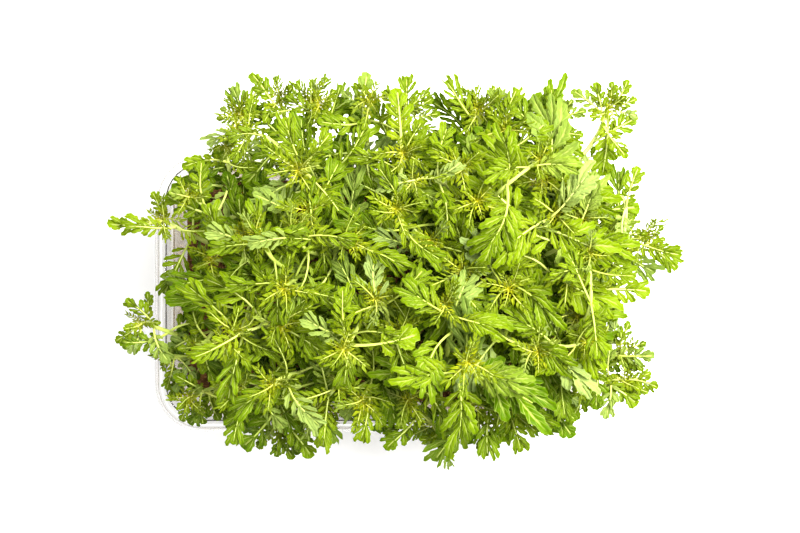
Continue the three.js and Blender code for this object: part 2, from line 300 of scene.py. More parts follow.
def grown_leaf(solid, plant, pair_index, side, start):
    """The setting of a leaf that the solid has, or None where it was left out for want of room."""
    for choice in range(len(LEAF_CHOICES)):
        setting = leaf_setting(plant, pair_index, side, choice)
        if solid.corners_near(midrib_of(start, setting)[0][-1], TIP_REACH):
            return setting
    return None


# ---------------------------------------------------------------- small mesh helpers


def new_object(name, mesh):
    made = bpy.data.objects.new(name, mesh)
    bpy.context.scene.collection.objects.link(made)
    return made


def mesh_from(bm, name):
    mesh = bpy.data.meshes.new(name)
    bm.to_mesh(mesh)
    bm.free()
    return mesh


def coordinates(mesh):
    flat = np.empty(3 * len(mesh.vertices), np.float32)
    mesh.vertices.foreach_get("co", flat)
    return flat.reshape(-1, 3).astype(float)


def faces_of(verts):
    return list({face for vert in verts for face in vert.link_faces})


def add_rod(bm, corners, rings):
    """Adds a closed rod one unit in radius that runs from 0 to 1 along x."""
    verts = bmesh.ops.create_grid(bm, x_segments=corners, y_segments=rings, size=0.5)["verts"]
    for vert in verts:
        angle = 2 * math.pi * (vert.co.x + 0.5)
        vert.co = (vert.co.y + 0.5, math.cos(angle), math.sin(angle))
    bmesh.ops.remove_doubles(bm, verts=verts, dist=1e-4)
    verts = [vert for vert in verts if vert.is_valid]
    open_edges = {edge for vert in verts for edge in vert.link_edges if edge.is_boundary}
    bmesh.ops.holes_fill(bm, edges=list(open_edges), sides=0)
    faces = faces_of(verts)
    bmesh.ops.recalc_face_normals(bm, faces=faces)
    return verts, faces


# ---------------------------------------------------------------- leaf blanks
# A leaf blank lies flat: x runs from 0 at the stem to 1 at the tip, y to its left and z up.

UPPER, UNDER, RIB = 0, 1, 2  # the finishes of a leaf, in the order of its materials

# Pairs of leaflets: how many, where the first and last sit, how far they open, how long and how slim
# they are. Then the end leaflet's length and slimness, the rows of teeth and the rib's radius.
LEAF_FORMS = {
    "feather": {
        "pairs": 6, "first": 0.22, "last": 0.78, "open": 66, "close": 34, "short": 0.14, "long": 0.29,
        "slim": 0.148, "end": 0.28, "end_slim": 0.23, "rows": 6, "rib": 0.021,
    },
    "broad": {
        "pairs": 5, "first": 0.3, "last": 0.74, "open": 54, "close": 26, "short": 0.2, "long": 0.42,
        "slim": 0.165, "end": 0.38, "end_slim": 0.24, "rows": 8, "rib": 0.021,
    },
    "spoon": {
        "pairs": 2, "first": 0.48, "last": 0.68, "open": 56, "close": 44, "short": 0.2, "long": 0.3,
        "slim": 0.25, "end": 0.36, "end_slim": 0.34, "rows": 8, "rib": 0.026,
    },
    "lobed": {
        "pairs": 4, "first": 0.28, "last": 0.72, "open": 62, "close": 42, "short": 0.17, "long": 0.27,
        "slim": 0.23, "end": 0.34, "end_slim": 0.28, "rows": 6, "rib": 0.03,
    },
    "narrow": {
        "pairs": 6, "first": 0.2, "last": 0.84, "open": 60, "close": 34, "short": 0.2, "long": 0.28,
        "slim": 0.115, "end": 0.2, "end_slim": 0.18, "rows": 6, "rib": 0.021,
    },
    "bud": {
        "pairs": 5, "first": 0.18, "last": 0.8, "open": 62, "close": 36, "short": 0.22, "long": 0.32,
        "slim": 0.18, "end": 0.24, "end_slim": 0.2, "rows": 3, "rib": 0.024,
    },
}
BLANKS_PER_FORM = {"feather": 6, "broad": 6, "spoon": 4, "lobed": 4, "narrow": 5, "bud": 4}
BLANK_SEEDS = 700

LEAFLET_LIFT = 12  # degrees
LEAFLET_ROLL = 26
LEAFLET_FOLD = 0.35  # rise of the edges beside the middle
LEAFLET_CURL = 0.16  # drop of the tip, as a share of the length
LEAFLET_SWEEP = 0.2  # bend towards the leaf's tip, as a share of the length
LEAFLET_THICKNESS = 0.007
LEAFLET_HEIGHT = 0.002  # over the plane of the blank
# How far each of these may stray, as a share of itself.
LEAFLET_SPREAD = {
    "opening": 0.12, "lift": 1.6, "roll": 1, "place": 0.03, "length": 0.16, "width": 0.16,
    "fold": 0.6, "curl": 1.2, "sweep": 0.7, "end_curl": 1, "end_sweep": 1,
}
END_FOLD, END_CURL, END_SWEEP = 0.3, 0.2, 0.1
WING_ROWS, WING_WIDTH, WING_FOLD, WING_CURL = 6, 0.032, 0.3, 0.02  # the narrow blade along the rib
RIB_SIDES, RIB_RINGS, RIB_TAPER = 5, 7, 0.74
SEED_LEAF_ROWS, SEED_LEAF_THICKNESS = 8, 0.025
STEM_SIDES, STEM_RINGS = 8, 30


def leaflet_width(share):
    """Half-width of a leaflet without its teeth, along its length, at most 1."""
    return math.sin(math.pi * min(share, 0.985) ** 1.3) ** 0.62


def leaflet_point(across, share, rows, length, half_width, fold, curl, sweep):
    """A point of a toothed leaflet: across runs from -1 to 1 and share from its base to its tip."""
    row = round(share * rows)
    forward = 0
    if row == 0:
        width = 0.34
    elif row == rows:
        width = 0.05
    elif row % 2:
        width = leaflet_width(share) * 1.12
        forward = 0.42 / rows
    else:
        width = leaflet_width(share) * 0.8
    x = length * (share + forward * abs(across))
    y = -across * half_width * width
    z = abs(y) * fold - curl * length * share**2
    return Vector((x, y - sweep * length * share**2, z))


def add_blade(bm, uv, place, rows, shape, thickness):
    """Adds one closed blade, whose upper side and underside meet in its edge, by shape(across, share)."""
    sheets = []
    for finish in (UPPER, UNDER):
        verts = bmesh.ops.create_grid(bm, x_segments=2, y_segments=rows, size=0.5)["verts"]
        faces = faces_of(verts)
        for face in faces:
            face.material_index = finish
            for loop in face.loops:
                loop[uv].uv = (loop.vert.co.x + 0.5, loop.vert.co.y + 0.5)
        for vert in verts:
            across, share = 2 * vert.co.x, vert.co.y + 0.5
            vert.co = shape(across, share)
            if finish == UNDER and abs(across) < 0.5 and 0.01 < share < 0.99:
                vert.co.z -= thickness
        if finish == UNDER:
            bmesh.ops.reverse_faces(bm, faces=faces)
        sheets += verts
    bmesh.ops.transform(bm, matrix=place, verts=sheets)
    bmesh.ops.remove_doubles(bm, verts=sheets, dist=1e-5)


def add_leaflet(bm, uv, place, rows, length, half_width, fold, curl, sweep=0):
    """Adds one toothed leaflet."""

    def shape(across, share):
        return leaflet_point(across, share, rows, length, half_width, fold, curl, sweep)

    add_blade(bm, uv, place, rows, shape, LEAFLET_THICKNESS)


def crisp_edges(bm):
    """Smooths everything but the edges where two finishes meet."""
    for edge in bm.edges:
        edge.smooth = len({face.material_index for face in edge.link_faces}) < 2
    for face in bm.faces:
        face.smooth = True


def blank_from(bm, name):
    """Finishes a blank, with the attribute that says how each of its points grows."""
    crisp_edges(bm)
    mesh = mesh_from(bm, name)
    mesh.attributes.new("growth", "FLOAT_COLOR", "POINT")
    return mesh


def leaf_blank(name, form, seed):
    """One flat leaf with its rib, its opposite leaflets and its end leaflet."""
    draw = numbers_from(seed)

    def vary(name):
        return 1 + (2 * draw() - 1) * LEAFLET_SPREAD[name]

    bm = bmesh.new()
    uv = bm.loops.layers.uv.new("leaflet")
    for pair in range(form["pairs"]):
        share = pair / (form["pairs"] - 1)
        at = form["first"] + (form["last"] - form["first"]) * share
        swell = math.sin(math.pi * (0.1 + 0.54 * share))
        size = form["short"] + (form["long"] - form["short"]) * swell
        opening = form["open"] + (form["close"] - form["open"]) * share
        for hand in (1, -1):
            turn = Matrix.Rotation(math.radians(hand * opening * vary("opening")), 4, "Z")
            lift = Matrix.Rotation(-math.radians(LEAFLET_LIFT) * vary("lift"), 4, "Y")
            roll = Matrix.Rotation(math.radians(LEAFLET_ROLL) * (vary("roll") - 1), 4, "X")
            place = Matrix.Translation((at * vary("place"), 0, LEAFLET_HEIGHT)) @ turn @ lift @ roll
            length = size * vary("length")
            half_width = length * form["slim"] * vary("width")
            fold = LEAFLET_FOLD * vary("fold")
            curl = LEAFLET_CURL * vary("curl")
            sweep = hand * LEAFLET_SWEEP * vary("sweep")
            add_leaflet(bm, uv, place, form["rows"], length, half_width, fold, curl, sweep)
    end = form["end"]
    place = Matrix.Translation((1 - end, 0, LEAFLET_HEIGHT))
    curl = END_CURL * vary("end_curl")
    sweep = END_SWEEP * (vary("end_sweep") - 1)
    add_leaflet(bm, uv, place, form["rows"], end, end * form["end_slim"], END_FOLD, curl, sweep)
    start = form["first"] - 0.1
    place = Matrix.Translation((start, 0, LEAFLET_HEIGHT / 2))
    wing_length = 1 - start - 0.5 * end
    add_leaflet(bm, uv, place, WING_ROWS, wing_length, WING_WIDTH, WING_FOLD, WING_CURL)
    verts, faces = add_rod(bm, RIB_SIDES, RIB_RINGS)
    for vert in verts:
        radius = form["rib"] * (1 - RIB_TAPER * vert.co.x)
        height = 0.6 * vert.co.z * radius + 0.5 * radius
        vert.co = (vert.co.x * (1 - 0.25 * end), vert.co.y * radius, height)
    for face in faces:
        face.material_index = RIB
    return blank_from(bm, name)


def seed_leaf_point(across, share):
    """A point of a smooth narrow oval."""
    half_width = 0.04 + 0.13 * math.sin(math.pi * share**1.3) ** 0.7
    return Vector((share, -across * half_width, 0.01 * abs(across)))


def seed_leaf_blank(name):
    bm = bmesh.new()
    uv = bm.loops.layers.uv.new("leaflet")
    add_blade(bm, uv, Matrix(), SEED_LEAF_ROWS, seed_leaf_point, SEED_LEAF_THICKNESS)
    return blank_from(bm, name)


def stem_blank(name):
    """A straight stem one unit long and one unit in radius, ready to be bent."""
    bm = bmesh.new()
    bm.loops.layers.uv.new("leaflet")
    for face in add_rod(bm, STEM_SIDES, STEM_RINGS)[1]:
        face.material_index = RIB
    return blank_from(bm, name)


def make_blanks():
    """The flat blanks of every form, in a list for each."""
    blanks = {"seed": [seed_leaf_blank("seed_leaf")], "stem": [stem_blank("stem")]}
    for name, form in LEAF_FORMS.items():
        count = BLANKS_PER_FORM[name]
        blanks[name] = [leaf_blank(f"{name}_{i}", form, BLANK_SEEDS + i) for i in range(count)]
    return blanks


# ---------------------------------------------------------------- growing a plant

BROAD_FROM = 1.05  # a plant whose leaves are this broad has broad lobes
LOBED_TO = 0.8  # a plant whose leaves are no larger than this has few, round lobes

# Leaves set one by one, most of them small and round the stand's edge, too slight for the solids:
# plant and form, then each leaf's place on the stem, heading, slope at base and at tip, and length.
EDGE_LEAVES = [
    (1, "lobed", [(0.95, 78, 30, 0, 14), (0.97, 216, 20, -10, 14), (0.97, 252, 20, -10, 14)]),
    (2, "lobed", [(0.95, 275, 10, -20, 18), (0.9, 262, 10, -15, 14)]),
    (3, "lobed", [(0.97, 186, 20, 4, 23), (0.95, 112, 20, -5, 14)]),
    (10, "feather", [(0.9, 25, 25, -5, 16), (0.9, 190, 15, -10, 11)]),
    (11, "feather", [(0.9, 272, 20, -10, 19), (0.97, 62, 25, -5, 17), (0.95, 118, 25, 0, 12)]),
    (11, "lobed", [(0.95, 172, 20, 0, 11), (0.97, 150, 25, 0, 10)]),
    (12, "feather", [(0.97, 95, 40, 0, 11), (0.95, 212, 15, -5, 11)]),
    (12, "lobed", [(0.97, 198, 20, 0, 9)]),
    (13, "feather", [
        (0.97, 68, 35, 0, 13), (0.95, 125, 30, 0, 14), (0.97, 142, 30, 0, 14), (0.97, 98, 30, 0, 11),
    ]),
    (13, "lobed", [(0.97, 32, 30, 0, 11)]),
    (14, "feather", [(0.95, 52, 30, 0, 20)]),
    (14, "narrow", [(0.97, 148, 30, -5, 19)]),
    (15, "lobed", [(0.95, 152, 20, 0, 13)]),
    (16, "feather", [(0.97, 62, 40, 10, 18)]),
    (16, "lobed", [(0.97, 92, 30, -5, 29)]),
    (17, "feather", [
        (0.95, 48, 30, 0, 15), (0.95, 130, 30, 0, 14), (0.85, 330, 20, -10, 17), (0.9, 345, 25, 0, 15),
        (0.9, 308, 25, -5, 15),
    ]),
    (17, "lobed", [(0.97, 22, 25, 0, 14), (0.95, 2, 20, -5, 15)]),
    (18, "feather", [
        (0.95, 62, 30, 0, 14), (0.97, 98, 30, 0, 11), (0.97, 132, 25, 0, 13), (0.95, 34, 30, 0, 15),
        (0.97, 116, 30, 5, 10), (0.95, 152, 25, 0, 12),
    ]),
    (18, "lobed", [(0.97, 166, 25, 0, 15)]),
    (20, "feather", [(0.95, 96, 25, -5, 20), (0.97, 80, 35, 5, 20)]),
    (21, "lobed", [
        (0.9, 352, 25, -10, 15), (0.97, 12, 25, 0, 14), (0.97, 96, 35, 5, 13), (0.9, 330, 20, -5, 16),
    ]),
    (22, "lobed", [
        (0.97, 80, 35, 5, 12), (0.97, 50, 30, 0, 15), (0.97, 22, 30, 0, 13), (0.93, 142, 25, 0, 18),
        (0.97, 267, 10, -25, 28), (0.97, 66, 35, 5, 11), (0.95, 355, 25, -5, 13),
    ]),
    (25, "feather", [(0.95, 42, 20, 0, 17)]),
    (26, "lobed", [
        (0.97, 317, 10, -10, 20), (0.93, 128, 20, 0, 15), (0.95, 152, 20, 0, 12),
        (0.97, 355, 15, -5, 10), (0.97, 22, 15, -5, 10),
    ]),
    (27, "lobed", [(0.95, 4, 15, -10, 25), (0.95, 328, 15, -10, 17)]),
    (32, "lobed", [
        (0.95, 100, 25, 0, 15), (0.95, 76, 25, 0, 14), (0.97, 20, 25, -5, 11), (0.97, 320, 20, -5, 12),
    ]),
    (33, "lobed", [
        (0.97, 356, 20, -5, 16), (0.97, 334, 20, -10, 13), (0.9, 238, 15, -10, 15),
        (0.97, 42, 20, 0, 10), (0.97, 8, 20, -5, 13),
    ]),
    (39, "spoon", [(0.97, 3, 25, -8, 30)]),
    (39, "feather", [(0.97, 93, 30, 0, 24)]),
    (50, "lobed", [
        (0.95, 240, 10, -20, 13), (0.9, 272, 10, -20, 14), (0.9, 218, 10, -20, 12),
        (0.85, 306, 10, -20, 17), (0.95, 165, 15, -5, 11), (0.9, 256, 10, -15, 13),
        (0.85, 290, 10, -15, 14), (0.85, 320, 10, -15, 17),
    ]),
    (51, "feather", [(0.9, 335, 10, -15, 18)]),
    (52, "lobed", [
        (0.95, 302, 10, -15, 17), (0.95, 238, 10, -15, 15), (0.97, 275, 10, -15, 15),
        (0.97, 290, 10, -15, 17),
    ]),
    (53, "feather", [(0.9, 232, 10, -15, 16), (0.9, 286, 10, -15, 17)]),
    (54, "feather", [(0.85, 250, 10, -15, 19)]),
    (55, "feather", [(0.85, 270, 10, -15, 19)]),
    (56, "feather", [
        (0.9, 187, 10, -10, 20), (0.9, 158, 15, -10, 16), (0.97, 286, 15, -10, 16),
        (0.9, 206, 10, -10, 14),
    ]),
    (57, "feather", [
        (0.85, 282, 10, -15, 24), (0.85, 305, 10, -15, 20), (0.85, 256, 10, -15, 22),
        (0.9, 318, 10, -15, 17),
    ]),
    (58, "lobed", [
        (0.85, 335, 10, -15, 15), (0.9, 344, 10, -15, 13), (0.9, 300, 10, -15, 16),
        (0.85, 240, 10, -15, 17),
    ]),
]

# Side shoots: plant, place on its stem, the shoot's bend and tip, then the size and turn of its leaves.
SIDE_SHOOTS = [
    (37, 0.55, (-40, 12, 98), (-47, 23, 97), 0.8, 200),
    (24, 0.6, (98, 44, 98), (97, 17, 82), 0.6, 60),
    (12, 0.6, (-36, 74, 78), (-23, 75, 80), 0.45, -40),
    (14, 0.6, (-42, 62, 92), (-55, 64, 88), 0.55, 130),
    (40, 0.6, (6, -8, 94), (-1, -2, 96), 0.85, 70),
    (35, 0.6, (-28, 16, 99), (-32, 25, 98), 0.8, 15),
    (38, 0.5, (-48, -15, 92), (-56, -14, 88), 0.85, 110),
    (47, 0.5, (30, -12, 101), (26, -4, 100), 0.85, 160),
    (46, 0.6, (62, 26, 95), (70, 31, 91), 0.85, 300),
    (30, 0.6, (72, -22, 93), (82, -19, 88), 0.8, 75),
    (19, 0.6, (22, 46, 96), (14, 44, 95), 0.8, 240),
    (51, 0.6, (-20, -42, 82), (-15, -35, 84), 0.8, 20),
    (28, 0.6, (76, 20, 96), (80, 29, 90), 0.8, 100),
    (44, 0.6, (47, 40, 104), (63, 52, 99), 0.75, 20),
    (31, 0.6, (84, -12, 100), (82, 16, 97), 0.8, 80),
]
SHOOT_STEPS = 20
SHOOT_PAIRS = ((0, 20), (1, 18), (2, 14))  # which leaf pair, and on which of the shoot's steps
SHOOT_GIRTH = 0.8

BARE_STEMS = (1, 3, 5)  # plants by the left wall that have dropped their lowest leaves

# Plants whose leaves are a darker or a lighter green than the rest: partly their own tone and partly painted
# shade and painted light, darker where the stand lies more in shade and lighter where it catches more light.
DARKER_WITH_PAINTED_SHADE = (2, 5, 6, 30, 34, 35, 36, 37, 40, 41, 42, 43, 45, 47, 49, 54, 55)
LIGHTER_WITH_PAINTED_LIGHT = (3, 9, 10, 16, 17, 18, 19, 20, 22, 24, 25, 26, 27, 28, 29, 33, 46)

PLANT_SEEDS = 9000
PAIR_NEWNESS = (0.26, 0.1, 0.04, 0, 0, 0, 0)  # from the growing tip down
EDGE_NEWNESS = 0.1
STEM_NEWNESS = 0.1
TIP_LEAVES, TIP_AGEING = 8, 0.09  # new leaves at a plant's tip, and newness lost from each to the next
SHOOT_TIP_LEAVES, SHOOT_TIP_AGEING = 6, 0.1
GOLDEN_TURN = 137.5
EDGE_BEND, EDGE_ROLL = 24, 40
DROOP = 0.4  # how much a leaf's sides hang
SWAY = 0.0028  # how far a midrib sways aside, for each degree that its leaf rolls
SWAY_WAVE = 4
STEM_PLACES = 100  # fine steps along a stem, where leaves sit
STEM_FINENESS = 60
STEM_RADIUS, STEM_TAPER = 1.12, 0.42
JOINT_SWELL, JOINT_LENGTH = 0.24, 0.02  # where a pair of leaves sits
ROOTED = 3  # how deep a stem goes into the soil
FULL_HEIGHT = 100  # the height that the growth attribute gives as 1
LEAF_REACH = 0.22  # of leaflets to the side, as a share of the leaf's length
RIM_ROOM = 1.5  # between the rim and the leaves that pass over it
LIFTS = 6
LIFT = 8  # degrees that a leaf is tilted up, at each lift


def bent_copy(blank, place, growth):
    """A copy of a blank with its points moved by place() and its growth: newness, tint, height and painted
    sheen.
    """
    mesh = blank.copy()
    flat = coordinates(blank)
    moved = place(flat) * MM
    mesh.vertices.foreach_set("co", moved.astype(np.float32).ravel())
    colours = np.empty((len(moved), 4), np.float32)
    colours[:] = growth
    # A leaf is newest at its base.
    colours[:, 0] *= np.clip(1.2 - 1.7 * flat[:, 0], 0.1, 1)
    mesh.attributes["growth"].data.foreach_set("color", colours.ravel())
    return mesh


def along_midrib(midrib, length, breadth, cup, sway):
    """A function that bends a flat leaf blank along a midrib, which sways aside from its course."""
    points, along, across, up = midrib
    last = len(points) - 1

    def place(flat):
        run = np.clip(flat[:, 0], 0, 1) * last
        step = np.minimum(run.astype(int), last - 1)
        part = (run - step)[:, None]

        def between(rows):
            return rows[step] * (1 - part) + rows[step + 1] * part

        left = flat[:, 1] * breadth
        lift = flat[:, 2] + cup * np.abs(left) - DROOP * left**2
        beyond = (flat[:, 0] - run / last)[:, None] * between(along)
        aside = left + sway * np.sin(SWAY_WAVE * flat[:, 0])
        sideways = -aside[:, None] * between(across) + lift[:, None] * between(up)
        return between(points) + length * (beyond + sideways)

    return place


def along_stem(curve, girth, rooted):
    """A function that bends the stem blank along a stem's curve and gives it its thickness."""
    points = even_points(curve, STEM_FINENESS)
    points[0, 2] -= rooted
    along = np.gradient(points, axis=0)
    along /= np.linalg.norm(along, axis=1)[:, None]
    side = np.cross(along, (0.0, 1.0, 0.0))
    side /= np.linalg.norm(side, axis=1)[:, None]
    other = np.cross(along, side)

    def place(rod):
        share = rod[:, 0]
        index = np.round(share * STEM_FINENESS).astype(int)
        radius = STEM_RADIUS - STEM_TAPER * share**1.5
        for pair in ALL_PAIRS:
            radius = radius + JOINT_SWELL * np.exp(-(((share - pair["along"]) / JOINT_LENGTH) ** 2))
        across = rod[:, 1:2] * side[index] + rod[:, 2:3] * other[index]
        return points[index] + across * girth * radius[:, None]

    return place


def edge_setting(leaf, draw):
    """How a leaf that is set by itself grows."""
    heading, rise, fall, length = leaf
    return {
        "azimuth": heading,
        "rise": rise,
        "fall": fall,
        "bend": EDGE_BEND * (draw() - 0.5),
        "roll": EDGE_ROLL * (draw() - 0.5),
        "length": length,
        "breadth": 1,
        "steps": 2,
    }


def over_rim(start, setting):
    """The setting of a leaf, tilted up step by step until the leaf passes over the tray's rim."""
    spread = LEAF_REACH * setting["length"]
    for _ in range(LIFTS):
        x, y, z = np.abs(midrib_of(start, setting)[0]).T
        past_edge = np.maximum(x - TRAY_LENGTH / 2, y - TRAY_WIDTH / 2)
        at_rim = (past_edge > -RIM_INSET - spread) & (past_edge < spread)
        if at_rim[0] or np.all(z[at_rim] > TRAY_HEIGHT + RIM_ROOM + 0.5 * spread):
            break
        setting = {**setting, "rise": setting["rise"] + LIFT, "fall": setting["fall"] + LIFT}
    return setting


def bud_setting(plant, index, draw):
    """How one of the new leaves at a tip grows, the youngest first."""
    age = index / TIP_LEAVES
    return {
        "azimuth": PLANTS[plant][3] + GOLDEN_TURN * index + 30 * draw(),
        "rise": 66 - 44 * age + 10 * draw(),
        "fall": 30 - 40 * age + 16 * draw(),
        "bend": 30 * (draw() - 0.5),
        "roll": 30 * (draw() - 0.5),
        "length": (5 + 9 * age) * PLANTS[plant][4],
        "breadth": 1,
        "steps": 2,
    }


def point_along(stretches, share):
    """A point of a stem's solid, which runs straight from step to step."""
    reach = share * STEM_STEPS
    stretch = min(int(reach), STEM_STEPS - 1)
    part = reach - stretch
    return stretches[stretch] * (1 - part) + stretches[stretch + 1] * part


class Marigold:
    """One plant while it grows, as a mesh that takes up its stem and its leaves."""

    def __init__(self, plant, blanks):
        self.plant = plant
        self.blanks = blanks
        self.bm = bmesh.new()
        self.draw = numbers_from(PLANT_SEEDS + plant)
        self.tint = 0.3 + 0.4 * self.draw()
        # Painted shade and painted light: plants in the darker and in the brighter parts of the stand get a
        # darker and a lighter green.
        self.tint += 0.3 * ((plant + 1 in LIGHTER_WITH_PAINTED_LIGHT) - (plant + 1 in DARKER_WITH_PAINTED_SHADE))
        size, breadth = PLANTS[plant][4:6]
        form = "broad" if breadth >= BROAD_FROM else "lobed" if size <= LOBED_TO else "feather"
        newest = "lobed" if size <= LOBED_TO else "narrow"
        self.forms = (newest, form, form, form, "spoon", "spoon", "seed")

    def add(self, blank, place, growth):
        mesh = bent_copy(blank, place, growth)
        self.bm.from_mesh(mesh)
        bpy.data.meshes.remove(mesh)

    def add_stem(self, curve, girth, rooted):
        place = along_stem(curve, girth, rooted)
        self.add(self.blanks["stem"][0], place, (STEM_NEWNESS, self.tint, 0, 0))

    def add_leaf(self, form, start, setting, newness):
        draw = self.draw
        choices = self.blanks[form]
        blank = choices[int(draw() * len(choices))]
        cup = 0.42 * draw() - 0.2 + 0.4 * newness
        midrib = midrib_of(start, setting)
        place = along_midrib(midrib, setting["length"], setting["breadth"], cup, SWAY * setting["roll"])
        # A few mature leaves are painted a pale grey-green: painted sheen, for light glancing off them.
        painted_sheen = max(0, 5 * draw() - 4) * (1 - newness)
        shade = 0.5 * self.tint + 0.35 * draw() + 0.5 * newness + (0.15 if form == "bud" else 0)
        self.add(blank, place, (newness, shade, start[2] / FULL_HEIGHT, painted_sheen))

    def add_pair_leaf(self, pair_index, start, setting):
        self.add_leaf(self.forms[pair_index], start, setting, PAIR_NEWNESS[pair_index])

    def add_pairs(self, solid, curve, places):
        """The opposite leaves: those that the solid has, then the lower ones that it leaves out."""
        stretches = even_points(curve, STEM_STEPS)
        for pair_index, pair in enumerate(ALL_PAIRS):
            start = places[round(pair["along"] * STEM_PLACES)]
            for side in (0, 1):
                if pair_index < len(LEAF_PAIRS):
                    solid_start = point_along(stretches, pair["along"])
                    setting = grown_leaf(solid, self.plant, pair_index, side, solid_start)
                elif self.plant + 1 in BARE_STEMS:
                    setting = None
                else:
                    setting = over_rim(start, leaf_setting(self.plant, pair_index, side))
                if setting:
                    self.add_pair_leaf(pair_index, start, setting)

    def add_edge_leaves(self, places):
        for plant, form, leaves in EDGE_LEAVES:
            if plant == self.plant + 1:
                for along, *leaf in leaves:
                    start = places[round(along * STEM_PLACES)]
                    setting = over_rim(start, edge_setting(leaf, self.draw))
                    self.add_leaf(form, start, setting, EDGE_NEWNESS)

    def add_side_shoots(self, places):
        for plant, along, bend, tip, size, turn in SIDE_SHOOTS:
            if plant == self.plant + 1:
                arch = np.array((places[round(along * STEM_PLACES)], bend, bend, tip), float)
                self.add_stem(arch, SHOOT_GIRTH, 0)
                sprig = even_points(arch, SHOOT_STEPS)
                for pair_index, place in SHOOT_PAIRS:
                    for side in (0, 1):
                        setting = leaf_setting(self.plant, pair_index, side)
                        setting["azimuth"] += turn
                        setting["length"] *= size
                        setting["breadth"] = PLANTS[self.plant][5]
                        self.add_pair_leaf(pair_index, sprig[place], setting)
                self.add_new_leaves(arch[3], SHOOT_TIP_LEAVES, SHOOT_TIP_AGEING)

    def add_new_leaves(self, tip, count, ageing):
        for index in range(count):
            setting = bud_setting(self.plant, index, self.draw)
            self.add_leaf("bud", tip, setting, 1 - ageing * index)


def grow_plant(plant, blanks, materials):
    """One marigold as a single mesh: its stem, its leaves and the cluster of new leaves at its tip."""
    node = f"plant_{plant + 1:02d}"
    solid = Solid(node)
    curve = grown_stem(solid, plant)
    places = even_points(curve, STEM_PLACES)
    marigold = Marigold(plant, blanks)
    marigold.add_stem(curve, 1, ROOTED)
    marigold.add_pairs(solid, curve, places)
    marigold.add_edge_leaves(places)
    marigold.add_side_shoots(places)
    marigold.add_new_leaves(curve[3], TIP_LEAVES, TIP_AGEING)
    mesh = mesh_from(marigold.bm, f"marigold_{plant + 1:02d}")
    for material in materials:
        mesh.materials.append(material)
    piece = new_object(mesh.name, mesh)
    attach(piece, ROOT)
    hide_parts(node)
    return piece


# ---------------------------------------------------------------- tray

WALL = 0.6  # a little over the real plastic, and thinner than the solid's
WALL_SLOPE = math.tan(math.radians(6))
SHOULDER = 39.5  # height of the step in the wall
RIM_INSET = 4.6
SHOULDER_INSET = RIM_INSET + (TRAY_HEIGHT - SHOULDER) * WALL_SLOPE
LOWER_INSET = SHOULDER_INSET + 1.4
BASE_INSET = LOWER_INSET + SHOULDER * WALL_SLOPE
RIB_INSET = BASE_INSET + 9

# The tray's section from the middle of its base, up its outside, over the rim and down its inside:
# inset from the rim's edge, height, corner radius, and how much the corner of the section is rounded.
TRAY_SECTION = [
    (RIB_INSET + 3.3, 0, 4, 0.2),
    (RIB_INSET + 2.8, 0.5, 4, 0.2),
    (RIB_INSET + 0.3, 0.5, 5, 0.2),
    (RIB_INSET - 0.3, 0, 6, 0.2),
    (BASE_INSET, 0, 13.1, 2.2),
    (LOWER_INSET, SHOULDER, 13.1, 0.8),
    (SHOULDER_INSET, SHOULDER, 15.4, 0.7),
    (RIM_INSET, TRAY_HEIGHT - WALL, 15.4, 0.9),
    (WALL, TRAY_HEIGHT - WALL, 19.4, 0.5),
    (WALL, TRAY_HEIGHT - 3.2, 19.4, 0.15),
    (0, TRAY_HEIGHT - 3.2, 20, 0.15),
    (0, TRAY_HEIGHT, 20, 0.9),
    (1.4, TRAY_HEIGHT, 18.6, 0.25),
    (1.8, TRAY_HEIGHT + 0.65, 18.2, 0.25),
    (2.7, TRAY_HEIGHT + 0.65, 17.3, 0.25),
    (3.1, TRAY_HEIGHT, 16.9, 0.25),
    (RIM_INSET + WALL, TRAY_HEIGHT, 14.8, 1.2),
    (SHOULDER_INSET + WALL, SHOULDER + WALL, 14.8, 0.9),
    (LOWER_INSET + WALL, SHOULDER + WALL, 12.5, 0.7),
    (BASE_INSET + WALL, WALL, 12.5, 1.8),
    (RIB_INSET - 0.5, WALL, 6, 0.2),
    (RIB_INSET, 0.5 + WALL, 5, 0.2),
    (RIB_INSET + 3, 0.5 + WALL, 4, 0.2),
    (RIB_INSET + 3.5, WALL, 4, 0.2),
]
CORNER_POINTS = 9
ROUNDED_SHARE = 0.48  # a rounding takes up no more than this of a stretch of the section
ROUNDED_DEPTH = 0.27
SHARP_FROM = 40  # degrees


def rounded_section(section):
    """The section with each of its corners cut back by its rounding and given a middle point."""
    path = [np.array(point[:3]) for point in section]
    smoothed = [path[0]]
    for i in range(1, len(path) - 1):
        before, here, after = path[i - 1], path[i], path[i + 1]
        reach = section[i][3]
        back = before - here
        ahead = after - here
        back *= min(reach / np.linalg.norm(back[:2]), ROUNDED_SHARE)
        ahead *= min(reach / np.linalg.norm(ahead[:2]), ROUNDED_SHARE)
        smoothed += [here + back, here + ROUNDED_DEPTH * (back + ahead), here + ahead]
    return [*smoothed, path[-1]]


def corner_spot(index, half_length, half_width, radius):
    """A point of a rounded rectangle, by its place in a round of four corners."""
    corner, step = divmod(index, CORNER_POINTS)
    angle = math.pi / 2 * (corner + step / (CORNER_POINTS - 1))
    x = (1 if corner in (0, 3) else -1) * (half_length - radius)
    y = (1 if corner in (0, 1) else -1) * (half_width - radius)
    return x + radius * math.cos(angle), y + radius * math.sin(angle)


def shape_ring(ring, place, inset, height, radius):
    """Moves a loop of points to run round the tray at an inset from the rim's edge."""
    for vert in ring:
        x, y = corner_spot(vert[place], TRAY_LENGTH / 2 - inset, TRAY_WIDTH / 2 - inset, radius)
        vert.co = (x, y, height)


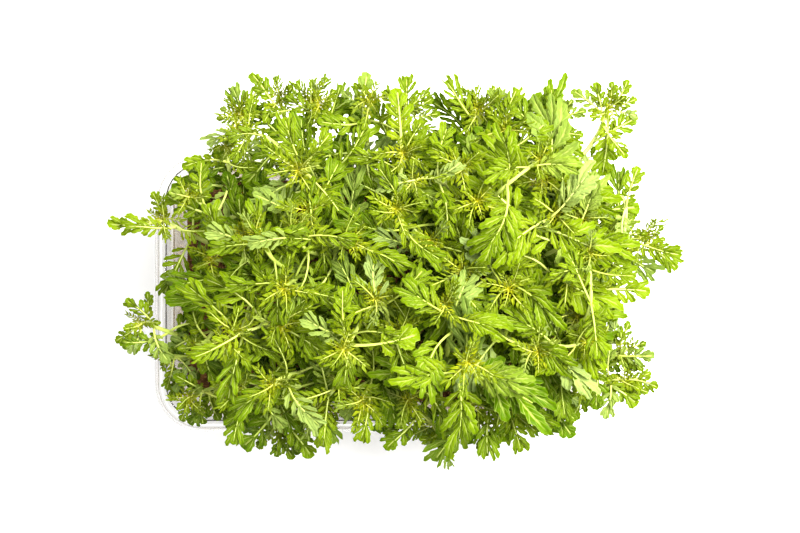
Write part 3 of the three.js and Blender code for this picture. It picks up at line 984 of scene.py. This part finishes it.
def lofted(bm, section):
    """Closes a skin over rings of the given insets, heights and corner radii."""
    place = bm.verts.layers.int.new("place")
    ring = bmesh.ops.create_circle(bm, segments=4 * CORNER_POINTS, radius=1)["verts"]
    for index, vert in enumerate(ring):
        vert[place] = index
    shape_ring(ring, place, *section[0])
    edges = bm.edges[:]
    bmesh.ops.contextual_create(bm, geom=edges)
    for point in section[1:]:
        made = bmesh.ops.extrude_edge_only(bm, edges=edges)["geom"]
        ring = {item for item in made if isinstance(item, bmesh.types.BMVert)}
        shape_ring(ring, place, *point)
        made_edges = [item for item in made if isinstance(item, bmesh.types.BMEdge)]
        edges = [edge for edge in made_edges if ring.issuperset(edge.verts)]
    bmesh.ops.contextual_create(bm, geom=edges)
    bmesh.ops.recalc_face_normals(bm, faces=bm.faces)
    bm.verts.layers.int.remove(place)


def make_tray(material):
    """The tray as one thin skin of formed plastic."""
    bm = bmesh.new()
    lofted(bm, rounded_section(TRAY_SECTION))
    bmesh.ops.scale(bm, vec=(MM, MM, MM), verts=bm.verts)
    for face in bm.faces:
        face.smooth = True
    for edge in bm.edges:
        edge.smooth = edge.calc_face_angle(0) < math.radians(SHARP_FROM)
    mesh = mesh_from(bm, "clear_tray")
    mesh.materials.append(material)
    piece = new_object("clear_tray", mesh)
    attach(piece, ROOT)
    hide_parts("tray")
    return piece


# ---------------------------------------------------------------- soil

SOIL_BOTTOM = 1.8
SOIL_CLEARANCE = 0.9  # between the soil and the tray's wall
SOIL_CELLS = (110, 66)
SOIL_RADIUS = 11
SOIL_LEVELS = 10
SOIL_SINKS = 0.8  # of its surface below the solid's top
LUMP_SIZE, LUMP_RISE = 14, 1.1
GRAIN_SIZE, GRAIN_RISE = 3.2, 0.55
SIDE_TOP = SOIL_TOP - 2
BASE_TUCK = 2  # how far its lowest edge is drawn in
SIDE_BUMPS, SIDE_GRAIN = 0.006, 3
ANY_TURN = 6.3  # radians, a little over a full turn
CRUMBS, CRUMB_SEED = 800, 31
CRUMB_ROUGHNESS, CRUMB_GRAIN = 0.3, 1.1
FIBRES, FIBRE_SEED = 420, 47
HUSKS, HUSK_SEED = 26, 59
ROOTS, ROOT_SEED = 150, 83
STREWN_MARGIN = 6  # kept between the wall and the fibres and husks


def wall_inset(height):
    """Inset of the inside of the tray's lower wall at a height."""
    return BASE_INSET + WALL - height * WALL_SLOPE


def to_rounded(u, v, half_length, half_width, radius):
    """Moves a point of the square from -1 to 1 to the same place in a rounded rectangle."""
    reach = max(abs(u), abs(v))
    if reach == 0:
        return 0.0, 0.0
    x, y = u / reach * half_length, v / reach * half_width
    over_x = abs(x) - (half_length - radius)
    over_y = abs(y) - (half_width - radius)
    if over_x > 0 and over_y > 0:
        shrink = radius / math.hypot(over_x, over_y)
        if shrink < 1:
            x = math.copysign(half_length - radius + over_x * shrink, x)
            y = math.copysign(half_width - radius + over_y * shrink, y)
    return x * reach, y * reach


def soil_height(x, y):
    lumps = noise.fractal(Vector((x, y, 3)) / LUMP_SIZE, 0.8, 2.1, 3)
    grains = noise.fractal(Vector((x, y, 9)) / GRAIN_SIZE, 0.7, 2.3, 3)
    return SOIL_TOP - SOIL_SINKS + LUMP_RISE * lumps + GRAIN_RISE * grains


def make_soil(material):
    """The block of soil, crumbly on top and pressed against the tray's walls."""
    bm = bmesh.new()
    columns, rows = SOIL_CELLS
    bmesh.ops.create_grid(bm, x_segments=columns, y_segments=rows, size=1)
    inset = wall_inset(SOIL_TOP) + SOIL_CLEARANCE
    half_length, half_width = TRAY_LENGTH / 2 - inset, TRAY_WIDTH / 2 - inset
    for vert in bm.verts:
        x, y = to_rounded(vert.co.x, vert.co.y, half_length, half_width, SOIL_RADIUS)
        vert.co = (x, y, soil_height(x, y))
    drawn_in = 0
    for level in range(1, SOIL_LEVELS + 1):
        edges = [edge for edge in bm.edges if edge.is_boundary]
        made = bmesh.ops.extrude_edge_only(bm, edges=edges)["geom"]
        height = SIDE_TOP + (SOIL_BOTTOM - SIDE_TOP) * level / SOIL_LEVELS
        before, drawn_in = drawn_in, (SOIL_TOP - height) * WALL_SLOPE
        if level == SOIL_LEVELS:
            drawn_in += BASE_TUCK
        narrower = (half_length - drawn_in) / (half_length - before)
        shorter = (half_width - drawn_in) / (half_width - before)
        for vert in (item for item in made if isinstance(item, bmesh.types.BMVert)):
            bump = 1 + SIDE_BUMPS * noise.noise(Vector((vert.co.x, vert.co.y, height)) / SIDE_GRAIN)
            vert.co = (vert.co.x * narrower * bump, vert.co.y * shorter * bump, height)
    bmesh.ops.holes_fill(bm, edges=[edge for edge in bm.edges if edge.is_boundary], sides=0)
    bmesh.ops.recalc_face_normals(bm, faces=bm.faces)
    return soil_piece(bm, "soil_block", material)


def soil_piece(bm, name, material):
    """Finishes a piece that belongs to the soil."""
    bmesh.ops.scale(bm, vec=(MM, MM, MM), verts=bm.verts)
    for face in bm.faces:
        face.smooth = True
    mesh = mesh_from(bm, name)
    mesh.materials.append(material)
    piece = new_object(name, mesh)
    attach(piece, ROOT)
    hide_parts("soil_bed")
    return piece


def soil_spots(count, seed, margin=2):
    """Random places on top of the soil."""
    draw = numbers_from(seed)
    inset = wall_inset(SOIL_TOP) + SOIL_CLEARANCE + margin
    spots = []
    for _ in range(count):
        u, v = 2 * draw() - 1, 2 * draw() - 1
        spots.append(to_rounded(u, v, TRAY_LENGTH / 2 - inset, TRAY_WIDTH / 2 - inset, SOIL_RADIUS))
    return spots, draw


def make_crumbs(material):
    """Loose crumbs of peat and coir on top of the soil."""
    bm = bmesh.new()
    # Unless it is seeded, noise_vector differs from run to run.
    noise.seed_set(CRUMB_SEED)
    spots, draw = soil_spots(CRUMBS, CRUMB_SEED)
    for x, y in spots:
        size = 0.5 + 1.3 * draw() ** 3
        turn = Matrix.Rotation(ANY_TURN * draw(), 4, Vector((draw() - 0.5, draw() - 0.5, 0.6)))
        shape = Matrix.Diagonal((size * (0.7 + draw()), size, size * (0.6 + 0.5 * draw()), 1))
        place = Matrix.Translation((x, y, soil_height(x, y) + 0.3 * size)) @ turn @ shape
        bmesh.ops.create_icosphere(bm, subdivisions=1, radius=1, matrix=place)
    for vert in bm.verts:
        vert.co += CRUMB_ROUGHNESS * noise.noise_vector(vert.co / CRUMB_GRAIN)
    return soil_piece(bm, "soil_crumbs", material)


def add_strand(bm, corners, rings, spine):
    """Adds a rod bent along spine(share), which gives a point and a radius."""
    verts, _ = add_rod(bm, corners, rings)
    for vert in verts:
        here, radius = spine(vert.co.x)
        ahead, _ = spine(vert.co.x + 0.01)
        along = (ahead - here).normalized()
        side = along.cross(Vector((0.13, 0.21, 0.97))).normalized()
        across = side * vert.co.y + along.cross(side) * vert.co.z
        vert.co = here + across * radius


def make_fibres(material):
    """Coir fibres that lie on the soil."""
    bm = bmesh.new()
    spots, draw = soil_spots(FIBRES, FIBRE_SEED, STREWN_MARGIN)
    for x, y in spots:
        heading, length, arch, bend = ANY_TURN * draw(), 3 + 9 * draw(), 1.6 * draw(), draw() - 0.5
        radius = 0.09 + 0.12 * draw()

        def spine(share):
            run = (share - 0.5) * length
            angle = heading + bend * share
            px, py = x + run * math.cos(angle), y + run * math.sin(angle)
            height = SOIL_TOP - 0.3 + arch * math.sin(math.pi * share)
            return Vector((px, py, height)), radius

        add_strand(bm, 3, 5, spine)
    return soil_piece(bm, "coir_fibres", material)


def make_husks(material):
    """Spent marigold seeds: slender and dark with paler flecks, narrow at one end."""
    bm = bmesh.new()
    spots, draw = soil_spots(HUSKS, HUSK_SEED, STREWN_MARGIN)
    for x, y in spots:
        heading, length, tilt = ANY_TURN * draw(), 7 + 3 * draw(), 0.7 * draw() - 0.2
        base = soil_height(x, y) + 0.8

        def spine(share):
            run = share * length
            level = run * math.cos(tilt)
            point = Vector((level * math.cos(heading), level * math.sin(heading), run * math.sin(tilt)))
            return Vector((x, y, base)) + point, 0.12 + 0.42 * math.sin(math.pi * min(share * 1.1, 1)) ** 0.6

        add_strand(bm, 6, 7, spine)
    return soil_piece(bm, "seed_husks", material)


def make_roots(material):
    """Fine roots pressed against the tray's walls, at the sides of the soil."""
    bm = bmesh.new()
    draw = numbers_from(ROOT_SEED)
    for index in range(ROOTS):
        across_end = index % 3 == 0
        hand = 1 if draw() < 0.5 else -1
        run = (TRAY_WIDTH if across_end else TRAY_LENGTH) / 2 - 28
        start = (2 * draw() - 1) * run
        top, depth = 20.5 - 9 * draw() ** 2, 4 + 13 * draw()
        lean, phase, swing = 14 * (draw() - 0.5), ANY_TURN * draw(), 2.2 * draw()

        def spine(share):
            height = max(top - depth * share, SOIL_BOTTOM + 0.5)
            inset = wall_inset(height) + SOIL_CLEARANCE - 0.25
            sideways = start + lean * share + swing * math.sin(phase + 5 * share)
            out = hand * ((TRAY_LENGTH if across_end else TRAY_WIDTH) / 2 - inset)
            point = (out, sideways, height) if across_end else (sideways, out, height)
            return Vector(point), 0.2 - 0.1 * share

        add_strand(bm, 4, 9, spine)
    return soil_piece(bm, "fine_roots", material)


# ---------------------------------------------------------------- materials

FILM_TOP = (0.026, 0.0468)  # metres over which the film on the tray's walls thins out upwards
FILM_FOOT = (0.017, 0.027)  # and downwards, where the soil begins


class Recipe:
    """Builds the nodes of one material or node group."""

    def __init__(self, tree):
        self.tree = tree

    def add(self, kind, inputs=None, **settings):
        node = self.tree.nodes.new(kind)
        for name, value in settings.items():
            setattr(node, name, value)
        for name, value in (inputs or {}).items():
            self.feed(node.inputs[name], value)
        return node

    def feed(self, socket, value):
        if isinstance(value, bpy.types.NodeSocket):
            self.tree.links.new(value, socket)
        else:
            socket.default_value = value

    def maths(self, operation, *values, clamp=False):
        node = self.add("ShaderNodeMath", operation=operation, use_clamp=clamp)
        for socket, value in zip(node.inputs, values):
            self.feed(socket, value)
        return node.outputs[0]

    def band(self, value, low, high):
        """0 below low, 1 above high and smooth between them."""
        inputs = {"Value": value, "From Min": low, "From Max": high}
        return self.add("ShaderNodeMapRange", inputs, interpolation_type="SMOOTHSTEP").outputs[0]

    def fade(self, value, low, high):
        """1 below low, 0 above high and smooth between them."""
        return self.maths("SUBTRACT", 1.0, self.band(value, low, high))

    def mix(self, share, first, second):
        node = self.add("ShaderNodeMix", data_type="RGBA")
        for index, value in ((0, share), (6, first), (7, second)):
            self.feed(node.inputs[index], value)
        return node.outputs[2]

    def height(self):
        where = self.add("ShaderNodeTexCoord").outputs["Object"]
        return self.add("ShaderNodeSeparateXYZ", {"Vector": where}).outputs[2]

    def growth(self):
        """Newness, tint, share of the full height and painted sheen, as the growth attribute gives them."""
        growth = self.add("ShaderNodeAttribute", attribute_name="growth").outputs
        parts = self.add("ShaderNodeSeparateColor", {"Color": growth["Color"]}).outputs
        return parts[0], parts[1], parts[2], growth["Alpha"]

    def noise(self, scale, detail=2.0, stretch=(1, 1, 1)):
        where = self.add("ShaderNodeTexCoord").outputs["Object"]
        placed = self.add("ShaderNodeMapping", {"Vector": where, "Scale": stretch}).outputs[0]
        inputs = {"Vector": placed, "Scale": scale, "Detail": detail}
        return self.add("ShaderNodeTexNoise", inputs).outputs[0]

    def bump(self, height, strength, distance):
        inputs = {"Height": height, "Strength": strength, "Distance": distance}
        return self.add("ShaderNodeBump", inputs).outputs[0]

    def finish(self, shader):
        output = self.add("ShaderNodeOutputMaterial")
        self.tree.links.new(shader, output.inputs["Surface"])


def new_recipe(name):
    material = bpy.data.materials.new(name)
    material.use_nodes = True
    material.node_tree.nodes.clear()
    return material, Recipe(material.node_tree)


def rgb(red, green, blue):
    return (red, green, blue, 1.0)


def make_leaf_pattern():
    """A node group with a leaf's newness, its tint, its veins, the painted highlight along each leaflet's
    rim and its puckered surface.
    """
    tree = bpy.data.node_groups.new("leaf_pattern", "ShaderNodeTree")
    for name in ("Newness", "Tint", "Height", "PaintedSheen", "VeinAndPaintedRim", "Mottle"):
        tree.interface.new_socket(name, in_out="OUTPUT", socket_type="NodeSocketFloat")
    tree.interface.new_socket("Normal", in_out="OUTPUT", socket_type="NodeSocketVector")
    recipe = Recipe(tree)
    newness, tint, height, painted_sheen = recipe.growth()
    spot = recipe.add("ShaderNodeUVMap", uv_map="leaflet").outputs[0]
    place = recipe.add("ShaderNodeSeparateXYZ", {"Vector": spot}).outputs
    across = recipe.maths("ABSOLUTE", recipe.maths("SUBTRACT", place[0], 0.5))
    middle = recipe.fade(across, 0.03, 0.11)
    slant = recipe.maths("MULTIPLY_ADD", across, -0.55, place[1])
    wave = recipe.maths("SINE", recipe.maths("MULTIPLY", slant, 34.0))
    side = recipe.maths("MULTIPLY", recipe.band(wave, 0.6, 1.0), 0.6)
    fading = recipe.fade(place[1], 0.55, 1.0)
    # Paler rims round each leaflet: a painted highlight for light along the thin edges, painted in the
    # veins' colour.
    edge = recipe.maths("MULTIPLY", recipe.band(across, 0.42, 0.5), 0.5)
    vein_and_painted_rim = recipe.maths("MULTIPLY", recipe.maths("MAXIMUM", middle, side), fading)
    vein_and_painted_rim = recipe.maths("MAXIMUM", vein_and_painted_rim, edge)
    mottle = recipe.noise(420.0, 3.0)
    puff = recipe.maths("SINE", recipe.maths("MULTIPLY", across, 6.0))
    relief = recipe.maths("MULTIPLY_ADD", side, -0.8, recipe.maths("MULTIPLY_ADD", mottle, 0.5, puff))
    outputs = recipe.add("NodeGroupOutput")
    for name, value in (
        ("Newness", newness), ("Tint", tint), ("Height", height), ("PaintedSheen", painted_sheen),
        ("VeinAndPaintedRim", vein_and_painted_rim), ("Mottle", mottle), ("Normal", recipe.bump(relief, 0.8, 0.0005)),
    ):
        recipe.feed(outputs.inputs[name], value)
    return tree


def make_leaf_material(name, pattern, colours, roughness, glow):
    """Leaf skin from mature green to new yellow, with paler veins, that lets some light through. Lower
    leaves are painted darker as painted shade, and leaflet rims and some leaves paler as painted highlight
    and painted sheen.
    """
    material, recipe = new_recipe(name)
    leaf = recipe.add("ShaderNodeGroup", node_tree=pattern).outputs
    dark, green, new, vein_and_highlight_colour = colours
    tone_and_painted_shade = recipe.maths("MULTIPLY_ADD", leaf["Mottle"], 0.5, recipe.maths("MULTIPLY", leaf["Tint"], 0.5))
    # Painted shade: leaves lower down are painted a darker green, for the shade of the leaves above them.
    tone_and_painted_shade = recipe.maths("MULTIPLY_ADD", recipe.band(leaf["Height"], 0.35, 0.95), 0.35, tone_and_painted_shade)
    grown = recipe.mix(recipe.band(tone_and_painted_shade, 0.3, 1.0), dark, green)
    fresh = recipe.mix(recipe.maths("POWER", leaf["Newness"], 0.8), grown, new)
    # Painted sheen: some leaves turn a paler grey-green, for light glancing off them.
    with_painted_sheen = recipe.mix(recipe.maths("MULTIPLY", leaf["PaintedSheen"], 0.5), fresh, rgb(0.53, 0.63, 0.3))
    # Veins in their own paler colour; the same colour paints the highlight on the leaflets' rims.
    colour = recipe.mix(recipe.maths("MULTIPLY", leaf["VeinAndPaintedRim"], 0.7), with_painted_sheen, vein_and_highlight_colour)
    inputs = {
        "Base Color": colour, "Roughness": roughness, "Specular IOR Level": 0.08,
        "Normal": leaf["Normal"],
    }
    skin = recipe.add("ShaderNodeBsdfPrincipled", inputs).outputs[0]
    through = recipe.mix(0.5, colour, rgb(0.52, 0.66, 0.0))
    lit = recipe.add("ShaderNodeBsdfTranslucent", {"Color": through}).outputs[0]
    recipe.finish(recipe.add("ShaderNodeMixShader", {0: glow, 1: skin, 2: lit}).outputs[0])
    return material


def make_stem_material():
    """Ribs and stems: pale yellow green, with long faint ridges and a reddish flush low down."""
    material, recipe = new_recipe("stem_and_rib")
    newness, tint, _, _ = recipe.growth()
    blotch = recipe.noise(90.0, 2.0)
    low = recipe.fade(recipe.height(), 0.022, 0.07)
    flush = recipe.maths("MULTIPLY", recipe.band(blotch, 0.42, 0.62), low)
    # The plant's tint, which carries painted shade and painted light, also makes its stems darker or paler.
    pale = recipe.mix(tint, rgb(0.40, 0.50, 0.08), rgb(0.58, 0.64, 0.2))
    aged = recipe.mix(recipe.maths("MULTIPLY", flush, 0.55), pale, rgb(0.32, 0.13, 0.05))
    colour = recipe.mix(newness, aged, rgb(0.92, 0.82, 0.0))
    ridges = recipe.noise(1600.0, 1.0, (1, 1, 0.12))
    inputs = {
        "Base Color": colour, "Roughness": 0.42, "Specular IOR Level": 0.25,
        "Normal": recipe.bump(ridges, 0.3, 0.0002),
    }
    skin = recipe.add("ShaderNodeBsdfPrincipled", inputs).outputs[0]
    recipe.finish(skin)
    return material


def make_plastic_material():
    """Clear formed plastic with a patchy beige film on the walls, thickest just above the soil and thinning
    towards the rim, with darker specks.
    """
    material, recipe = new_recipe("clear_plastic")
    height = recipe.height()
    streaks = recipe.noise(240.0, 4.0, (1, 1, 0.35))
    specks = recipe.noise(900.0, 2.0)
    below = recipe.fade(height, *FILM_TOP)
    patchy = recipe.maths("MULTIPLY_ADD", recipe.band(streaks, 0.35, 0.75), 0.26, 0.25)
    fading = recipe.maths("MULTIPLY_ADD", recipe.band(height, *FILM_FOOT), 0.96, 0.04)
    film = recipe.maths("MULTIPLY", recipe.maths("MULTIPLY", below, fading), patchy)
    specked = recipe.maths("MULTIPLY", recipe.band(specks, 0.62, 0.7), recipe.maths("MULTIPLY", below, 0.3))
    share = recipe.maths("MAXIMUM", film, specked, clamp=True)
    waves = recipe.bump(recipe.noise(60.0, 1.0), 0.08, 0.001)
    inputs = {
        "Base Color": rgb(0.885, 0.88, 0.86), "Roughness": 0.06, "IOR": 1.45,
        "Transmission Weight": 1.0, "Metallic": 0.0, "Normal": waves,
    }
    clear = recipe.add("ShaderNodeBsdfPrincipled", inputs).outputs[0]
    film_colour = recipe.mix(recipe.band(specks, 0.5, 0.72), rgb(0.87, 0.72, 0.50), rgb(0.42, 0.27, 0.14))
    film_surface = recipe.add("ShaderNodeBsdfPrincipled", {"Base Color": film_colour, "Roughness": 0.7}).outputs[0]
    lit = recipe.add("ShaderNodeBsdfTranslucent", {"Color": film_colour}).outputs[0]
    film_skin = recipe.add("ShaderNodeMixShader", {0: 0.45, 1: film_surface, 2: lit}).outputs[0]
    recipe.finish(recipe.add("ShaderNodeMixShader", {0: share, 1: clear, 2: film_skin}).outputs[0])
    return material


def make_ground_material(name, colours, scale, roughness=0.95, stretch=(1, 1, 1)):
    """Soil, fibre, husk or root: two shades mottled together, with a rough surface."""
    material, recipe = new_recipe(name)
    coarse = recipe.noise(scale, 5.0, stretch)
    fine = recipe.noise(scale * 7, 3.0, stretch)
    shade = recipe.mix(recipe.band(coarse, 0.38, 0.62), colours[0], colours[1])
    colour = recipe.mix(recipe.band(fine, 0.56, 0.72), shade, colours[2])
    inputs = {
        "Base Color": colour, "Roughness": roughness, "Specular IOR Level": 0.25,
        "Normal": recipe.bump(fine, 0.6, 0.0006),
    }
    recipe.finish(recipe.add("ShaderNodeBsdfPrincipled", inputs).outputs[0])
    return material


def make_floor_material():
    material, recipe = new_recipe("studio_floor")
    colour = recipe.mix(recipe.noise(3.0), rgb(0.93, 0.93, 0.93), rgb(0.96, 0.96, 0.96))
    inputs = {
        "Base Color": colour, "Roughness": 0.9, "Specular IOR Level": 0.1,
        "Emission Color": colour, "Emission Strength": 0.11,
    }
    recipe.finish(recipe.add("ShaderNodeBsdfPrincipled", inputs).outputs[0])
    return material


# ---------------------------------------------------------------- studio

FLOOR_SIZE = 3
AIM = (0, 0, 0.05)  # the middle of the tray, where the light points
KEY_PLACE, KEY_SIZE, KEY_POWER = (0.42, 0.28, 0.85), 0.5, 26
ROOM_LIGHT = 1.02
CAMERA_PLACE, CAMERA_SENSOR, CAMERA_LENS, CAMERA_NEAR = (0.0089, 0.0106, 0.798), 36, 81.3, 0.05


def add_soft_light(name, place, size, power):
    """A square soft light aimed at the middle of the tray."""
    data = bpy.data.lights.new(name, "AREA")
    data.shape = "SQUARE"
    data.size = size
    data.energy = power
    light = new_object(name, data)
    light.location = place
    aim = Vector(AIM) - light.location
    light.rotation_euler = aim.to_track_quat("-Z", "Y").to_euler()


def make_studio():
    """The floor, the white room, its soft light and the camera that looks down on the tray."""
    bm = bmesh.new()
    bmesh.ops.create_grid(bm, x_segments=1, y_segments=1, size=FLOOR_SIZE)
    floor = new_object("studio_floor", mesh_from(bm, "studio_floor"))
    floor.data.materials.append(make_floor_material())
    scene = bpy.context.scene
    world = bpy.data.worlds.new("white_room")
    scene.world = world
    world.use_nodes = True
    background = world.node_tree.nodes["Background"]
    background.inputs["Color"].default_value = rgb(1, 1, 1)
    background.inputs["Strength"].default_value = ROOM_LIGHT
    add_soft_light("key_light", KEY_PLACE, KEY_SIZE, KEY_POWER)
    scene.view_settings.view_transform = "Standard"
    scene.view_settings.look = "Medium High Contrast"
    data = bpy.data.cameras.new("top_camera")
    data.sensor_width = CAMERA_SENSOR
    data.lens = CAMERA_LENS
    data.clip_start = CAMERA_NEAR
    camera = new_object("top_camera", data)
    camera.location = CAMERA_PLACE
    scene.camera = camera


# ---------------------------------------------------------------- everything together

pattern = make_leaf_pattern()
plant_materials = [
    make_leaf_material(
        "leaf_upper", pattern,
        (rgb(0.055, 0.135, 0.0), rgb(0.215, 0.315, 0.002), rgb(0.92, 0.83, 0.0), rgb(0.56, 0.64, 0.16)),
        0.42, 0.36,
    ),
    make_leaf_material(
        "leaf_underside", pattern,
        (rgb(0.11, 0.21, 0.01), rgb(0.22, 0.33, 0.01), rgb(0.88, 0.79, 0.0), rgb(0.53, 0.60, 0.15)),
        0.6, 0.36,
    ),
    make_stem_material(),
]
blanks = make_blanks()
for number in range(len(PLANTS)):
    grow_plant(number, blanks, plant_materials)
for group in blanks.values():
    for blank in group:
        bpy.data.meshes.remove(blank)

make_tray(make_plastic_material())
soil_colours = (rgb(0.11, 0.055, 0.022), rgb(0.27, 0.145, 0.062), rgb(0.5, 0.31, 0.16))
soil_material = make_ground_material("coir_soil", soil_colours, 160.0)
make_soil(soil_material)
make_crumbs(soil_material)
fibre_colours = (rgb(0.28, 0.15, 0.06), rgb(0.42, 0.25, 0.11), rgb(0.56, 0.38, 0.2))
make_fibres(make_ground_material("coir_fibre", fibre_colours, 300.0, 0.8))
husk_colours = (rgb(0.012, 0.009, 0.007), rgb(0.05, 0.035, 0.02), rgb(0.42, 0.33, 0.18))
make_husks(make_ground_material("seed_husk", husk_colours, 150.0, 0.6))
root_colours = (rgb(0.62, 0.54, 0.38), rgb(0.78, 0.72, 0.56), rgb(0.5, 0.36, 0.2))
make_roots(make_ground_material("fine_root", root_colours, 200.0, 0.6))

make_studio()
